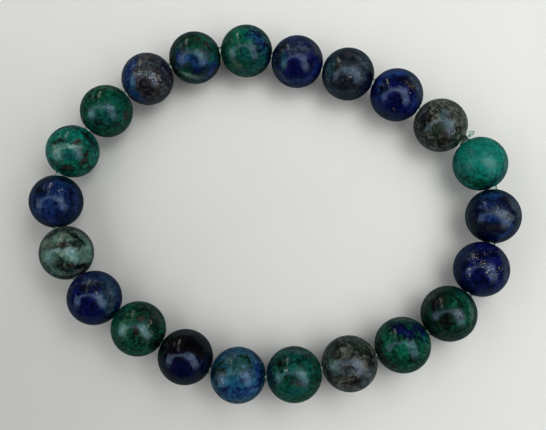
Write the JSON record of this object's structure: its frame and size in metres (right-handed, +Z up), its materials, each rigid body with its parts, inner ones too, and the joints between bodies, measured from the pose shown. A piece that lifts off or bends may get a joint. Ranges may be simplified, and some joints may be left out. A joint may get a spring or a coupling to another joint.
{
  "type": "stone bead stretch bracelet",
  "caption": "Stretch bracelet of round polished azurite and malachite beads on one knotted clear elastic cord, lying flat in a loose oval.",
  "frame": {"origin": "on the table, under the middle of the bracelet's bounding box", "axes": "+X along the oval's longer side, +Y across it, towards the far side as it is seen, +Z up from the table"},
  "size_m": [0.0731, 0.0571, 0.008],
  "materials": {
    "azurite_navy": "polished, very dark indigo to navy, with faint lighter clouds and a few pale or brassy specks",
    "azurite_mottled": "polished, royal blue with lighter blue clouds, a little green and brassy specks",
    "azurite_in_matrix": "polished, navy areas in grey-brown to slate host rock, with brassy specks",
    "malachite_green": "polished, deep emerald to teal green with black-green and red-brown spots",
    "malachite_bright": "polished, even bright teal green with one paler patch",
    "malachite_pale": "polished, pale grey-green and mint with brown-black patches",
    "malachite_and_azurite": "polished, green and royal blue areas side by side with brown flecks",
    "grey_matrix": "polished, dark grey-green host rock mottled with black and a little brown",
    "clear_elastic": "clear, smooth stretch cord, see-through"
  },
  "bodies": {
    "root": {"bead_01": "malachite_and_azurite", "bead_02": "azurite_navy", "bead_03": "azurite_in_matrix", "bead_04": "azurite_navy", "bead_05": "grey_matrix", "bead_06": "malachite_bright", "bead_07": "azurite_mottled", "bead_08": "azurite_navy", "bead_09": "malachite_green", "bead_10": "malachite_green", "bead_11": "grey_matrix", "bead_12": "malachite_green", "bead_13": "azurite_mottled", "bead_14": "azurite_navy", "bead_15": "malachite_green", "bead_16": "azurite_navy", "bead_17": "malachite_pale", "bead_18": "azurite_navy", "bead_19": "malachite_green", "bead_20": "malachite_green", "bead_21": "azurite_in_matrix", "bead_22": "malachite_and_azurite", "elastic_cord": "clear_elastic"}
  },
  "joints": []
}
